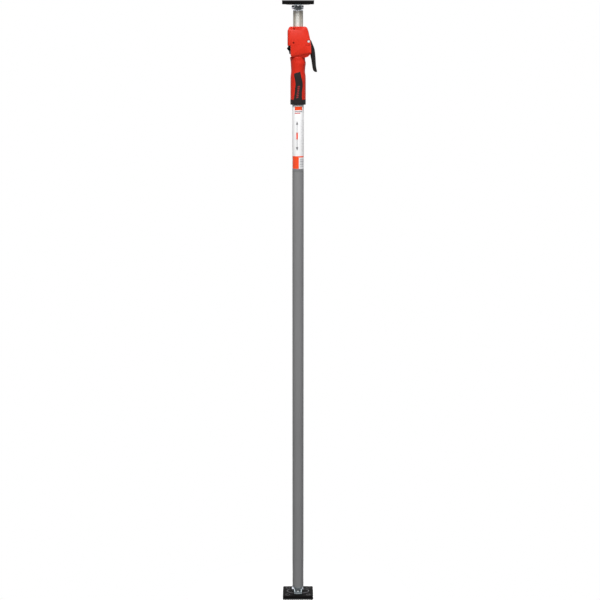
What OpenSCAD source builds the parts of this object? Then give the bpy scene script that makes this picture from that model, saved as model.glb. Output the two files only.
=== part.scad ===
// Telescopic support pole for holding boards to a ceiling.
// Origin on the tube axis at the foot's lower face, +Z up, +X towards the pump lever, front at -Y.

/* [Pole] */
// Length with the inner tube pushed in
closed_length = 1600; // [1500:10:1900]
// Space below the inner tube's guide when it is pushed in
guide_rest = 2.6; // [1:0.2:20]
// Outside diameter of the outer tube
outer_d = 30; // [29:0.5:31]
// Wall of the outer tube
outer_wall = 1.2; // [1:0.1:1.4]
// Outside diameter of the inner tube
inner_d = 26; // [25.4:0.1:26.2]
// Wall of the inner tube
inner_wall = 1.5; // [1:0.1:2]

/* [Plates] */
// Side of the square foot and head plates
plate_w = 82.2; // [77:0.2:90]
// Thickness of the moulded plate
plate_t = 5.8; // [5:0.2:8]
// Thickness of the rubber pad
pad_t = 4; // [3:0.5:6]
// Corner radius of plate and pad
plate_r = 4; // [2:0.5:8]
// Distance between the screw holes
screw_pitch = 56; // [54:1:60]
// Diameter of the screw holes
screw_hole_d = 5; // [4:0.5:6]
// Width of the raised oval rib on the plate
ring_d = 61; // [56:1:64]
// Length of that rib from front to back
ring_len = 38; // [34:1:46]

/* [Plate hinge] */
// Outside width of the steel bracket
bracket_w = 20.6; // [20:0.2:24]
// Length of the bracket's base
bracket_len = 48; // [46:1:50]
// Thickness of the bracket's sheet
bracket_t = 2.4; // [2:0.1:2.8]
// Diameter of the hinge bolt
bolt_d = 6; // [5:0.5:6]
// Radius of the tongue around the bolt
tongue_r = 5; // [4.5:0.1:5.2]
// Distance from the hinge axis to the tube's end
rim_gap = 6.6; // [6.4:0.1:8]
// Width across the flats of bolt head and nut
hex_af = 10; // [8:0.5:11]

/* [Housing] */
// Half the depth of the red housing
housing_half_y = 23; // [23:0.5:26]
// Wall of the housing
housing_wall = 2.5; // [2:0.1:2.8]
// Height of the housing's upper face below the pole's top
housing_drop = 66.4; // [66:0.2:80]

/* [Grip] */
// Diameter of the hand grip
grip_d = 39.4; // [38:0.2:40.4]
// Diameter of the grip's waist
waist_d = 35.8; // [34.8:0.2:36.8]
// Diameter of the flange at the grip's upper end
flange_d = 41; // [39:0.5:42]
// Length of the grip with its rubber collar
grip_len = 122; // [118:1:126]
// Height of the rubber collar at the grip's lower end
collar_len = 13; // [8:0.5:20]

/* [Pump lever] */
// Distance from the lever's pin to its lifting nose
nose_arm = 10.5; // [10:0.1:10.8]
// Width of the pump lever
lever_w = 15; // [12:0.5:15.4]
// Width of the part of the lever that the fingers pull
handle_w = 19; // [16:0.5:22]

/* [Label] */
// Length of the label sleeve
label_len = 175; // [100:1:190]
// Thickness of the label sleeve
label_t = 0.15; // [0.1:0.05:0.3]

/* [Hidden] */
$fn = 64;

// Shared clearances: a running fit, a gap between loose parts, an overrun for cuts
fit = 0.05;
gap = 0.3;
over = 1;

// Radii of the tubes and what runs in them
outer_r = outer_d / 2;
outer_bore_r = outer_r - outer_wall;
inner_r = inner_d / 2;
inner_bore_r = inner_r - inner_wall;
hole_gap = 0.35;
slide_hole_r = inner_r + hole_gap;
bolt_r = bolt_d / 2;

// Heights of the plate stack and the hinge
face_z = pad_t + plate_t;
hinge_h = bracket_t + gap + tongue_r;
foot_axis_z = face_z + hinge_h;
tube_z = foot_axis_z + rim_gap;
head_axis_z = closed_length - foot_axis_z;
inner_top_z = closed_length - tube_z;

// Plate details
pad_rib_t = 0.4;
ring_w = 1.8;
ring_h = 1.2;
plate_bevel = 1.2;
screw_sink_d = 9;
screw_sink_h = 2;

// Bracket details
ear_r = 5.7;
ear_foot_share = 0.46;
rivet_d = 6;
rivet_h = 2.6;
rivet_shank_d = 4;
rivet_share = 0.35;
bolt_head_h = 4;
nut_h = 5.6;
bolt_end = 0.7;
tongue_gap = 0.3;
bracket_in = bracket_w / 2 - bracket_t;
tongue_half = bracket_in - tongue_gap;

// Plugs in the tube ends
foot_plug_len = 19;
head_plug_len = 22;
fitting_flange_h = 2.4;
shoulder_y_share = 0.66;
plug_pin_d = 3.5;
plug_pin_rise = 11;
head_pin_drop = 5;
head_pin_turn = 11.5;

// Stack of the handle: the tube ends above the grip, and the works are counted from the base plate on it
housing_top_z = closed_length - housing_drop;
housing_h = 77.8;
grip_top_z = housing_top_z - housing_h;
tube_rise = 18.2;
tube_top_z = grip_top_z + tube_rise;
bush_len = 12;
bush_flange_h = 1.5;
base_z = tube_top_z + bush_flange_h;
lever_over_base = 20.3;
brake_over_base = 7.7;
notch_over_base = 10.5;
screw_over_base = 16.5;
release_under_base = 5.5;
lever_z = base_z + lever_over_base;
lever_x = 27.2;
notch_z = base_z + notch_over_base;
top_plate_drop = 9.6;
guide_len = 16;
guide_spigot_len = 12;
guide_z = tube_z + foot_plug_len + guide_rest;

// Housing: reach to both sides of the tube axis, rounding towards its face, notch for the release
housing_left = 27.3;
housing_right = 34.4;
housing_round = 7.5;
// Outline from the front: share of the reach to that side, share of the height downwards
housing_shares = [
    [-0.733, 0], [0.541, 0], [0.64, 0.019], [0.698, 0.064], [0.773, 0.161], [0.924, 0.437],
    [0.988, 0.656], [1, 0.81], [0.959, 0.869], [0.858, 0.913], [0.669, 0.964], [0.509, 0.992],
    [-0.615, 0.992], [-1, 0.609], [-1, 0.141], [-0.93, 0.064]
];
// Steps of the rounding: inset and distance from the face, as shares of it
round_shares = [[0.12, 0.347], [0.293, 0.133], [0.533, 0.04]];

// Chassis
sleeve_r = 16.1;
sleeve_len = 17;
base_t = 2.5;
base_x = 14.8;
shelf_drop = 1.3;
shelf_z = lever_z - shelf_drop;
shelf_t = 2;
top_plate_z = housing_top_z - top_plate_drop;
cheek_in_y = 15.2;
cheek_t = 2;
cheek_x0 = -16;
cheek_x1 = -5;
ear_in_y = 8.4;
ear_t = 2.5;
ear_x0 = 14.2;
ear_x1 = 25;
pin_eye_r = 3.9;
ear_slot_y = 11.2;
chassis_front_x = 18;

// Pump lever, brake and drive
nose_r = 2.8;
lever_hub_r = 5.8;
arm_root_half = 3.8;
lever_reach = 22.2;
lever_len = 78.2;
// Back and inner edge of the lever from its pin, and where its wide handle begins, as shares
// of its reach and length
lever_back_shares = [
    [0.729, -0.313], [0.771, -0.412], [0.822, -0.611], [0.86, -0.803], [0.953, -0.936], [1, -0.985],
    [0.963, -1], [0.822, -0.997], [0.673, -0.977], [0.57, -0.934], [0.435, -0.803], [0.355, -0.611],
    [0.229, -0.412]
];
lever_neck_shares = [[0.29, 0.015], [0.444, -0.087], [0.64, -0.215]];
lever_root_shares = [[0.131, -0.256], [-0.093, -0.077]];
handle_start_shares = [[0.196, -0.358], [0.682, -0.262]];
pin_r = 2.5;
pin_head_r = 3.6;
pin_head_h = 1.4;
drive_t = 3.5;
drive_z = lever_z + nose_r + gap;
drive_wide_x = 13.6;
drive_wide_y = 14.5;
plate_tongue_y = 7.6;
drive_tip_x = 18.6;
brake_t = 2.5;
brake_count = 2;
brake_tilt = 3;
brake_pivot_x = 16;
brake_pivot_z = base_z + brake_over_base;
brake_tip_x = 17.5;
brake_left_x = 22;
brake_tongue_y = 5;
rest_bar_w = 3;
spring_r = 14.1;
spring_wire = 1.2;
drive_spring_turns = 4.5;
brake_spring_turns = 2.5;

// Release lever
release_x = -18.2;
release_z = base_z - release_under_base;
release_pin_r = 1.25;
release_eye_r = 1.8;
release_w = 12;
release_face = 1.2;
release_inset = 1.4;
release_reach = 11.3;
release_rise = 13.9;
// Outline from its pin, as shares of its reach and rise
release_shares = [
    [0.053, -0.115], [0.053, 0.115], [-0.106, 0.288], [-0.106, 0.604], [-0.381, 0.604],
    [-0.619, 0.547], [-0.646, 0.986], [-0.779, 1], [-1, 0.676], [-0.938, 0.547], [-0.637, 0.302],
    [-0.442, -0.072], [-0.319, -0.331], [-0.124, -0.374]
];
// Cheeks that straddle the brake plates' ends
release_cheek_shares = [
    [-0.106, 0.288], [-0.106, 1.094], [-0.336, 1.094], [-0.664, 1.029], [-0.779, 0.978], [-0.965, 0.676],
    [-0.938, 0.547], [-0.637, 0.302]
];
release_spring_r = 0.95;
release_wire = 0.4;
release_spring_turns = 4;
release_slot_y = 6.4;
release_slot_drop = 6;
release_boss_y = 10;
release_boss_r = 3;

// Housing screws, one below the upper face and one beside the works
screw_x = -10.6;
screw_drop = 5.2;
screw_zs = [housing_top_z - screw_drop, base_z + screw_over_base];
screw_shank_r = 1.4;
screw_head_r = 2.5;
screw_head_h = 2;
screw_sink = 4.2;
screw_boss_r = 4.2;

// Grip
grip_z = grip_top_z - grip_len;
waist_drop = 34;
flange_t = 3;
flange_edge = 1;
inlay_deep = 1.4;
inlay_proud = 0.35;
// Height about the waist as a share of its drop, swelling from waist to grip as a share
waist_shares = [[-0.647, 1], [-0.441, 0.82], [-0.235, 0.5], [0, 0], [0.294, 0.12], [0.794, 0.53]];
// Inlay's outline: share of the grip's radius right of the axis, share of its length upwards
inlay_foot_share = 0.58;
inlay_shares = [
    [-0.523, 0.18], [-0.472, 0.262], [-0.415, 0.344], [-0.373, 0.426], [-0.435, 0.508], [-0.539, 0.607],
    [-0.497, 0.648], [0.295, 0.689], [0.342, 0.648], [0.415, 0.566], [0.539, 0.492], [0.622, 0.41],
    [0.596, 0.311], [0.539, 0.18]
];

module at_foot() translate([0, 0, foot_axis_z]) children();

// Turns what is built downwards from a hinge axis into the head's place
module at_head() translate([0, 0, head_axis_z]) mirror([0, 0, 1]) children();

module tube_solid(r_out, r_in, h) {
    difference() {
        cylinder(r = r_out, h = h);
        translate([0, 0, -over]) cylinder(r = r_in, h = h + 2 * over);
    }
}

module rod_x(r, x0, x1) translate([x0, 0, 0]) rotate([0, 90, 0]) cylinder(r = r, h = x1 - x0);

module rod_y(r, y0, y1) translate([0, y1, 0]) rotate([90, 0, 0]) cylinder(r = r, h = y1 - y0);

module block(x0, x1, y0, y1, z0, z1) translate([x0, y0, z0]) cube([x1 - x0, y1 - y0, z1 - z0]);

module screw_places() {
    for (x = [-1, 1], y = [-1, 1]) translate([x * screw_pitch / 2, y * screw_pitch / 2, 0]) children();
}

// Outline of a plate as a square with four corner discs, so that its walls stay true
module plate_prism(w, r, h) {
    block(-w / 2 + r, w / 2 - r, -w / 2, w / 2, 0, h);
    block(-w / 2, w / 2, -w / 2 + r, w / 2 - r, 0, h);
    for (x = [-1, 1], y = [-1, 1]) translate([x * (w / 2 - r), y * (w / 2 - r), 0]) cylinder(r = r, h = h);
}

// Rubber pad, given with the hinge axis at zero, lying below it
module pad() {
    translate([0, 0, -hinge_h - face_z]) difference() {
        plate_prism(plate_w, plate_r, pad_t);
        screw_places() translate([0, 0, -over]) cylinder(r = screw_hole_d / 2, h = pad_t + 2 * over);
    }
}

module plate() {
    translate([0, 0, -hinge_h - plate_t]) difference() {
        union() {
            plate_prism(plate_w - pad_rib_t, plate_r, plate_t - plate_bevel);
            plate_prism(plate_w - pad_rib_t - plate_bevel, plate_r, plate_t);
            translate([0, 0, plate_t]) oval_rib();
        }
        screw_places() {
            translate([0, 0, -over]) cylinder(r = screw_hole_d / 2, h = plate_t + 2 * over);
            translate([0, 0, plate_t - screw_sink_h])
                cylinder(r1 = screw_hole_d / 2, r2 = screw_sink_d / 2, h = screw_sink_h + fit);
        }
        rivet_places() translate([0, 0, plate_t - bracket_t]) cylinder(r = rivet_shank_d / 2, h = bracket_t + over);
    }
}

// Raised oval rib on the plate's face, rooted in it and broken where the bracket lies
module oval_rib() {
    slot_half = bracket_w / 2 + gap;
    rib_h = ring_h + plate_bevel;
    translate([0, 0, -plate_bevel]) difference() {
        scale([1, ring_len / ring_d, 1]) cylinder(r = ring_d / 2, h = rib_h);
        translate([0, 0, -over])
            scale([1, (ring_len - 2 * ring_w) / (ring_d - 2 * ring_w), 1])
                cylinder(r = ring_d / 2 - ring_w, h = rib_h + 2 * over);
        block(-slot_half, slot_half, -ring_len, ring_len, -over, rib_h + over);
    }
}

module rivet_places() {
    for (y = [-1, 1]) translate([0, y * rivet_share * bracket_len / 2, 0]) children();
}

module bracket() {
    base_z0 = -hinge_h;
    difference() {
        union() {
            block(-bracket_w / 2, bracket_w / 2, -bracket_len / 2, bracket_len / 2, base_z0, base_z0 + bracket_t);
            for (s = [-1, 1]) hull() {
                x0 = s > 0 ? bracket_in : -bracket_w / 2;
                rod_x(ear_r, x0, x0 + bracket_t, $fn = 48);
                block(x0, x0 + bracket_t, -ear_foot_share * bracket_len / 2, ear_foot_share * bracket_len / 2,
                    base_z0, base_z0 + bracket_t);
            }
        }
        rod_x(bolt_r + fit, -bracket_w, bracket_w);
        rivet_places() translate([0, 0, base_z0 - over]) cylinder(r = rivet_shank_d / 2, h = bracket_t + 2 * over);
    }
}

module rivets() {
    rivet_places() translate([0, 0, -hinge_h - bracket_t])
        cylinder(r = rivet_shank_d / 2, h = 2 * bracket_t);
    rivet_places() translate([0, 0, bracket_t - hinge_h]) {
        rotate_extrude() polygon([[0, 0], [rivet_d / 2, 0], [rivet_d / 2, rivet_h / 4],
            [rivet_d / 3, rivet_h * 3 / 4], [rivet_d / 6, rivet_h], [0, rivet_h]]);
    }
}

module hex_x(x0, x1) {
    translate([x0, 0, 0]) rotate([0, 90, 0]) cylinder(d = hex_af / cos(30), h = x1 - x0, $fn = 6);
}

module bolt() {
    rod_x(bolt_r, -bracket_w / 2 - nut_h - bolt_end, bracket_w / 2 + bolt_head_h / 2);
    hex_x(bracket_w / 2, bracket_w / 2 + bolt_head_h);
}

module nut() {
    difference() {
        hex_x(-bracket_w / 2 - nut_h, -bracket_w / 2);
        rod_x(bolt_r, -bracket_w, bracket_w);
    }
}

// Tongue that turns on the bolt, from the hinge axis up to the tube's rim
module tongue() {
    difference() {
        hull() {
            rod_x(tongue_r, -tongue_half, tongue_half, $fn = 48);
            block(-tongue_half, tongue_half, -shoulder_y_share * inner_r, shoulder_y_share * inner_r,
                rim_gap - gap, rim_gap);
        }
        rod_x(bolt_r + fit, -bracket_w, bracket_w);
    }
}

module foot_fitting_shape() {
    difference() {
        union() {
            tongue();
            translate([0, 0, rim_gap]) cylinder(r = outer_r, h = fitting_flange_h);
            translate([0, 0, rim_gap]) cylinder(r = outer_bore_r, h = foot_plug_len);
        }
        translate([0, 0, rim_gap + plug_pin_rise]) rod_x(plug_pin_d / 2, -outer_d, outer_d);
    }
}

module head_fitting_shape() {
    difference() {
        union() {
            tongue();
            translate([0, 0, rim_gap]) cylinder(r = inner_r, h = fitting_flange_h);
            translate([0, 0, rim_gap]) cylinder(r = inner_bore_r, h = head_plug_len);
        }
        translate([0, 0, rim_gap + fitting_flange_h + head_pin_drop]) rotate([0, 0, head_pin_turn])
            rod_y(plug_pin_d / 2, -outer_d, outer_d);
    }
}

// Sub-parts, from the floor upwards
module foot_pad() color("#161616") at_foot() pad();

module foot_plate() color("#262628") at_foot() plate();

module foot_bracket() color("#8f9a9c") at_foot() bracket();

module foot_rivets() color("#c9cfd1") at_foot() rivets();

module foot_bolt() color("#b4bcc4") at_foot() bolt();

module foot_nut() color("#b4bcc4") at_foot() nut();

module foot_fitting() color("#7f8787") at_foot() foot_fitting_shape();

module foot_fitting_pin() {
    color("#6c6f72") at_foot() translate([0, 0, rim_gap + plug_pin_rise])
        rod_x(plug_pin_d / 2, -outer_r, outer_r);
}

module outer_tube() {
    color("#828386") difference() {
        translate([0, 0, tube_z + fitting_flange_h])
            tube_solid(outer_r, outer_bore_r, tube_top_z - tube_z - fitting_flange_h);
        translate([0, 0, foot_axis_z + rim_gap + plug_pin_rise]) rod_x(plug_pin_d / 2, -outer_d, outer_d);
    }
}

module label_sleeve() {
    color("#f3f3f5") translate([0, 0, grip_z - label_len]) tube_solid(outer_r + label_t, outer_r, label_len);
}

module upper_guide_bush() {
    color("#d8d8d2") difference() {
        union() {
            translate([0, 0, tube_top_z - bush_len]) cylinder(r = outer_bore_r, h = bush_len);
            translate([0, 0, tube_top_z]) cylinder(r = outer_r, h = bush_flange_h);
        }
        translate([0, 0, tube_top_z - bush_len - over])
            cylinder(r = inner_r + fit, h = bush_len + bush_flange_h + 2 * over);
    }
}

module chassis() {
    color("#9aa0a2") difference() {
        union() {
            translate([0, 0, base_z - sleeve_len]) cylinder(r = sleeve_r, h = sleeve_len);
            block(-base_x, chassis_front_x, -drive_wide_y, drive_wide_y, base_z, base_z + base_t);
            block(-base_x, chassis_front_x, -drive_wide_y, drive_wide_y, shelf_z, shelf_z + shelf_t);
            block(-base_x, chassis_front_x, -drive_wide_y, drive_wide_y, top_plate_z, top_plate_z + base_t);
            for (s = [-1, 1]) {
                y0 = s > 0 ? cheek_in_y : -cheek_in_y - cheek_t;
                block(cheek_x0, cheek_x1, y0, y0 + cheek_t, base_z, housing_top_z - housing_wall - 3 * gap);
                for (z = [base_z, shelf_z, top_plate_z])
                    block(cheek_x0 + 2 * cheek_t, cheek_x1, s > 0 ? drive_wide_y - over : -cheek_in_y - fit,
                        s > 0 ? cheek_in_y + fit : over - drive_wide_y, z, z + shelf_t);
                e0 = s > 0 ? ear_in_y : -ear_in_y - ear_t;
                block(ear_x0, ear_x1, e0, e0 + ear_t, base_z, lever_z + pin_eye_r);
                block(ear_x0, chassis_front_x, e0, e0 + ear_t, base_z, top_plate_z + base_t);
                translate([lever_x, 0, lever_z]) rod_y(pin_eye_r, e0, e0 + ear_t);
                block(ear_x1 - over, lever_x, e0, e0 + ear_t, lever_z - pin_eye_r, lever_z + pin_eye_r);
            }
            block(brake_pivot_x - rest_bar_w / 2, brake_pivot_x + rest_bar_w / 2, -ear_in_y - over, ear_in_y + over,
                base_z, brake_pivot_z - brake_t - gap);
        }
        translate([0, 0, base_z - sleeve_len - over]) cylinder(r = outer_r, h = sleeve_len + over);
        translate([0, 0, base_z - over]) cylinder(r = slide_hole_r, h = housing_drop + over);
        block(drive_wide_x - gap, lever_x, -ear_in_y, ear_in_y, shelf_z - over, shelf_z + shelf_t + over);
        translate([lever_x, 0, lever_z]) rod_y(pin_r + fit, -outer_d, outer_d);
        for (z = screw_zs) translate([screw_x, 0, z]) {
            rod_y(screw_shank_r, cheek_in_y - over, outer_d);
            rod_y(screw_shank_r, -outer_d, over - cheek_in_y);
        }
    }
}

// Half section of the grip from the axis out, counted up from its lower end
module grip_profile(extra) {
    waist = grip_len - waist_drop;
    polygon(concat(
        [[outer_r, collar_len], [grip_d / 2 + extra, collar_len]],
        [for (p = waist_shares) [(waist_d + p[1] * (grip_d - waist_d)) / 2 + extra, waist + p[0] * waist_drop]],
        [[flange_d / 2 + extra, grip_len - flange_t], [flange_d / 2 + extra, grip_len - flange_edge],
            [flange_d / 2 - flange_edge + extra, grip_len], [outer_r, grip_len]]
    ));
}

// Outline of the rubber inlay on the front: distance right of the axis, height above the grip's end
module inlay_outline() {
    foot_x = inlay_foot_share * grip_d / 2;
    polygon(concat(
        [[-foot_x, collar_len]],
        [for (p = inlay_shares) [p[0] * grip_d / 2, p[1] * grip_len]],
        [[foot_x, collar_len]]
    ));
}

module inlay_prism() {
    for (s = [0, 1]) rotate([0, 0, 180 * s]) rotate([90, 0, 0]) linear_extrude(outer_d) inlay_outline();
}

module grip() {
    color("#d8382a") translate([0, 0, grip_z]) difference() {
        rotate_extrude() grip_profile(0);
        difference() {
            inlay_prism();
            rotate_extrude() intersection() {
                grip_profile(-inlay_deep);
                square([outer_d, grip_len]);
            }
            cylinder(r = outer_r, h = grip_len);
        }
        translate([0, 0, grip_len - sleeve_len + tube_top_z + bush_flange_h - grip_top_z])
            cylinder(r = sleeve_r, h = sleeve_len + over);
    }
}

module grip_inlay() {
    color("#2a2a2b") translate([0, 0, grip_z]) intersection() {
        inlay_prism();
        difference() {
            rotate_extrude() grip_profile(inlay_proud);
            rotate_extrude() grip_profile(-inlay_deep);
            cylinder(r = outer_r, h = grip_len);
        }
    }
}

module grip_collar() {
    color("#1d1c1b") translate([0, 0, grip_z]) tube_solid(grip_d / 2 + inlay_proud, outer_r, collar_len);
}

// Outline of the housing seen from the front, counted from the tube axis and down from its upper face
function housing_points() = [
    for (p = housing_shares) [p[0] * (p[0] < 0 ? housing_left : housing_right), -p[1] * housing_h]
];

module housing_slab(inset, y) {
    translate([0, 0, housing_top_z]) rotate([90, 0, 0]) translate([0, 0, y])
        linear_extrude(gap) offset(delta = -inset) polygon(housing_points());
}

// Front half of the housing's outer or inner form, rounded towards its face
module housing_form(inset, start = 0) {
    hull() {
        housing_slab(inset, start);
        housing_slab(inset, housing_half_y - housing_round);
        for (s = round_shares)
            housing_slab(inset + s[0] * housing_round, housing_half_y - inset - s[1] * housing_round);
    }
}

module housing_half() {
    wall_x = release_x - release_inset;
    difference() {
        union() {
            difference() {
                housing_form(0);
                housing_form(housing_wall, -over);
                block(-outer_d, wall_x, -outer_d, outer_d, grip_top_z - over, notch_z);
            }
            difference() {
                intersection() {
                    housing_form(0);
                    union() {
                        block(wall_x, wall_x + housing_wall, -outer_d, 0, grip_top_z, notch_z + housing_wall);
                        block(-outer_d, wall_x + housing_wall, -outer_d, 0, notch_z, notch_z + housing_wall);
                    }
                }
                block(-outer_d, 0, -release_slot_y, over, release_z - release_slot_drop, notch_z + fit);
            }
            for (z = screw_zs) translate([screw_x, 0, z])
                rod_y(screw_boss_r, gap - housing_half_y + over, -cheek_in_y - cheek_t);
            translate([lever_x, 0, lever_z]) rod_y(pin_eye_r, gap - housing_half_y + over, -ear_in_y - ear_t - gap);
            block(wall_x, release_x + release_eye_r, -release_boss_y, -release_slot_y, release_z - release_boss_r,
                release_z + release_boss_r);
        }
        translate([0, 0, grip_top_z - over]) cylinder(r = inner_r + gap, h = housing_h + 2 * over);
        translate([0, 0, grip_top_z - over]) cylinder(r = sleeve_r + gap / 3, h = base_z - grip_top_z + over);
        for (z = screw_zs) translate([screw_x, 0, z]) {
            rod_y(screw_shank_r + fit, -outer_d, 0);
            rod_y(screw_head_r + fit, -outer_d, screw_sink - housing_half_y);
        }
        translate([lever_x, 0, lever_z]) rod_y(pin_r + fit, -outer_d, 0);
        translate([lever_x, 0, lever_z]) rod_y(pin_head_r + fit, -outer_d, pin_head_h - housing_half_y);
        translate([release_x, 0, release_z]) rod_y(release_pin_r, -release_boss_y + over, over);
        block(chassis_front_x, outer_d * 2, -ear_slot_y, over, grip_top_z - over, lever_z + lever_hub_r + gap);
        block(-outer_d, 0, -release_slot_y, over, release_z - release_slot_drop, notch_z + fit);
    }
}

module housing_front() color("#e43d2f") housing_half();

module housing_back() color("#e43d2f") mirror([0, 1, 0]) housing_half();

module housing_screws() {
    color("#7a2a22") for (s = [0, 1], z = screw_zs) mirror([0, s, 0]) translate([screw_x, 0, z]) {
        rod_y(screw_shank_r, -housing_half_y + screw_sink, -cheek_in_y + gap);
        rod_y(screw_head_r, -housing_half_y + screw_sink - screw_head_h, -housing_half_y + screw_sink);
    }
}

module lever_pin() {
    color("#e8e8e8") translate([lever_x, 0, lever_z]) {
        rod_y(pin_r, -housing_half_y + gap, housing_half_y - gap);
        rod_y(pin_head_r, -housing_half_y - gap, pin_head_h - housing_half_y);
    }
}

module lever_pin_clip() {
    color("#c8c8c8") translate([lever_x, 0, lever_z]) difference() {
        rod_y(pin_head_r, housing_half_y - pin_head_h, housing_half_y - 2 * gap);
        rod_y(pin_r, 0, outer_d);
    }
}

// Pump lever seen from the front, counted from its pin
function lever_points(shares) = [for (p = shares) [p[0] * lever_reach, p[1] * lever_len]];

module pump_lever() {
    color("#1c1b1a") translate([lever_x, 0, lever_z]) difference() {
        union() {
            rod_y(lever_hub_r, -lever_w / 2, lever_w / 2);
            rod_nose();
            rotate([90, 0, 0]) translate([0, 0, -handle_w / 2]) linear_extrude(handle_w)
                polygon(lever_points(concat(lever_back_shares, handle_start_shares)));
            rotate([90, 0, 0]) translate([0, 0, -lever_w / 2]) linear_extrude(lever_w) {
                polygon(concat([[0, lever_hub_r]],
                    lever_points(concat(lever_neck_shares, lever_back_shares, lever_root_shares))));
                polygon([[0, -arm_root_half], [0, arm_root_half], [-nose_arm, nose_r], [-nose_arm, -nose_r]]);
            }
        }
        rod_y(pin_r + fit, -outer_d, outer_d);
    }
}

module rod_nose() translate([-nose_arm, 0, 0]) rod_y(nose_r, -lever_w / 2, lever_w / 2);

module clutch_plate(left_x, left_y, t, tip_x) {
    difference() {
        union() {
            block(-drive_wide_x, drive_wide_x, -drive_wide_y, drive_wide_y, 0, t);
            block(0, tip_x, -plate_tongue_y, plate_tongue_y, 0, t);
            block(-left_x, 0, -left_y, left_y, 0, t);
        }
        translate([0, 0, -over]) cylinder(r = slide_hole_r, h = t + 2 * over);
    }
}

module drive_plate() {
    color("#6d7072") translate([0, 0, drive_z])
        clutch_plate(drive_wide_x, drive_wide_y, drive_t, drive_tip_x);
}

// The two brake plates lie tilted about their right end and so grip the inner tube
module brake_plates() {
    color("#6d7072") translate([brake_pivot_x, 0, brake_pivot_z]) rotate([0, -brake_tilt, 0])
        translate([-brake_pivot_x, 0, 0]) for (i = [0:brake_count - 1])
            translate([0, 0, (i - brake_count / 2) * brake_t])
                clutch_plate(brake_left_x, brake_tongue_y, brake_t, brake_tip_x);
}

// Wire wound round the tube axis as one swept tube, flat at both ends of its run
function coil_point(r, h, turns, t) = [
    r * cos(360 * turns * t), r * sin(360 * turns * t), h * min(1, max(0, (t * turns - 0.5) / (turns - 1)))
];
module coil(r, wire, h, turns, per_turn = 16, sides = 6) {
    n = ceil(turns * per_turn);
    rings = [for (i = [0:n]) let (a = 360 * turns * i / n, c = coil_point(r, h - wire, turns, i / n))
        [for (k = [0:sides - 1]) let (b = 360 * k / sides)
            c + wire / 2 * [cos(b) * cos(a), cos(b) * sin(a), sin(b)] + [0, 0, wire / 2]]];
    points = [for (ring = rings, p = ring) p];
    walls = [for (i = [0:n - 1], k = [0:sides - 1]) let (a = i * sides, k2 = (k + 1) % sides)
        each [[a + k, a + sides + k, a + k2], [a + k2, a + sides + k, a + sides + k2]]];
    caps = [[for (k = [0:sides - 1]) k], [for (k = [sides - 1:-1:0]) n * sides + k]];
    polyhedron(points, concat(walls, caps));
}

module drive_spring() {
    z0 = drive_z + drive_t + gap;
    color("#b8bcbe") translate([0, 0, z0])
        coil(spring_r, spring_wire, top_plate_z - gap - z0, drive_spring_turns);
}

module brake_spring() {
    z0 = brake_pivot_z + brake_t + gap;
    color("#b8bcbe") translate([0, 0, z0])
        coil(spring_r, spring_wire, shelf_z - gap - z0, brake_spring_turns);
}

// Outline seen from the front, counted from the release pin
function release_points(shares) = [for (p = shares) [p[0] * release_reach, p[1] * release_rise]];

module release_lever() {
    color("#171616") translate([release_x, 0, release_z]) difference() {
        union() {
            rotate([90, 0, 0]) translate([0, 0, -release_w / 2]) linear_extrude(release_w)
                polygon(release_points(release_shares));
            for (y = [-release_w / 2, brake_tongue_y + gap]) rotate([90, 0, 0])
                translate([0, 0, y]) linear_extrude(release_w / 2 - brake_tongue_y - gap)
                    polygon(release_points(release_cheek_shares));
            rod_y(release_eye_r, -release_w / 2, release_w / 2);
        }
        rod_y(release_pin_r + fit, -outer_d, outer_d);
    }
}

module release_pin() {
    color("#a8adb0") translate([release_x, 0, release_z])
        rod_y(release_pin_r, over - release_boss_y, release_boss_y - over);
}

module release_spring() {
    x0 = release_x - release_face + fit;
    color("#b8bcbe") translate([x0, 0, base_z + base_t / 2]) rotate([0, 90, 0])
        coil(release_spring_r, release_wire, -base_x - fit - x0, release_spring_turns, per_turn = 12);
}

module inner_guide() {
    color("#d8d8d2") {
        translate([0, 0, guide_z]) cylinder(r = outer_bore_r - fit, h = guide_len);
        translate([0, 0, guide_z + guide_len - over]) cylinder(r = inner_bore_r - fit, h = guide_spigot_len + over);
    }
}

module inner_tube() {
    z0 = guide_z + guide_len + fit;
    z1 = inner_top_z - fitting_flange_h;
    color("#c4c5c1") difference() {
        translate([0, 0, z0]) tube_solid(inner_r, inner_bore_r, z1 - z0);
        translate([0, 0, z1 - head_pin_drop]) rotate([0, 0, head_pin_turn])
            rod_y(plug_pin_d / 2, -outer_d, outer_d);
    }
}

module head_fitting() color("#8d918f") at_head() head_fitting_shape();

module head_fitting_pin() {
    color("#55524c") translate([0, 0, inner_top_z - fitting_flange_h - head_pin_drop])
        rotate([0, 0, head_pin_turn]) rod_y(plug_pin_d / 2, -inner_r, inner_r);
}

module head_bracket() color("#8f9a9c") at_head() bracket();

module head_rivets() color("#c9cfd1") at_head() rivets();

module head_bolt() color("#b4bcc4") at_head() bolt();

module head_nut() color("#b4bcc4") at_head() nut();

module head_plate() color("#262628") at_head() plate();

module head_pad() color("#161616") at_head() pad();

foot_pad();
foot_plate();
foot_bracket();
foot_rivets();
foot_bolt();
foot_nut();
foot_fitting();
foot_fitting_pin();
outer_tube();
label_sleeve();
upper_guide_bush();
chassis();
grip();
grip_inlay();
grip_collar();
housing_front();
housing_back();
housing_screws();
lever_pin();
lever_pin_clip();
pump_lever();
drive_plate();
drive_spring();
brake_plates();
brake_spring();
release_lever();
release_pin();
release_spring();
inner_guide();
inner_tube();
head_fitting();
head_fitting_pin();
head_bracket();
head_rivets();
head_bolt();
head_nut();
head_plate();
head_pad();
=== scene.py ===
import math

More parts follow.
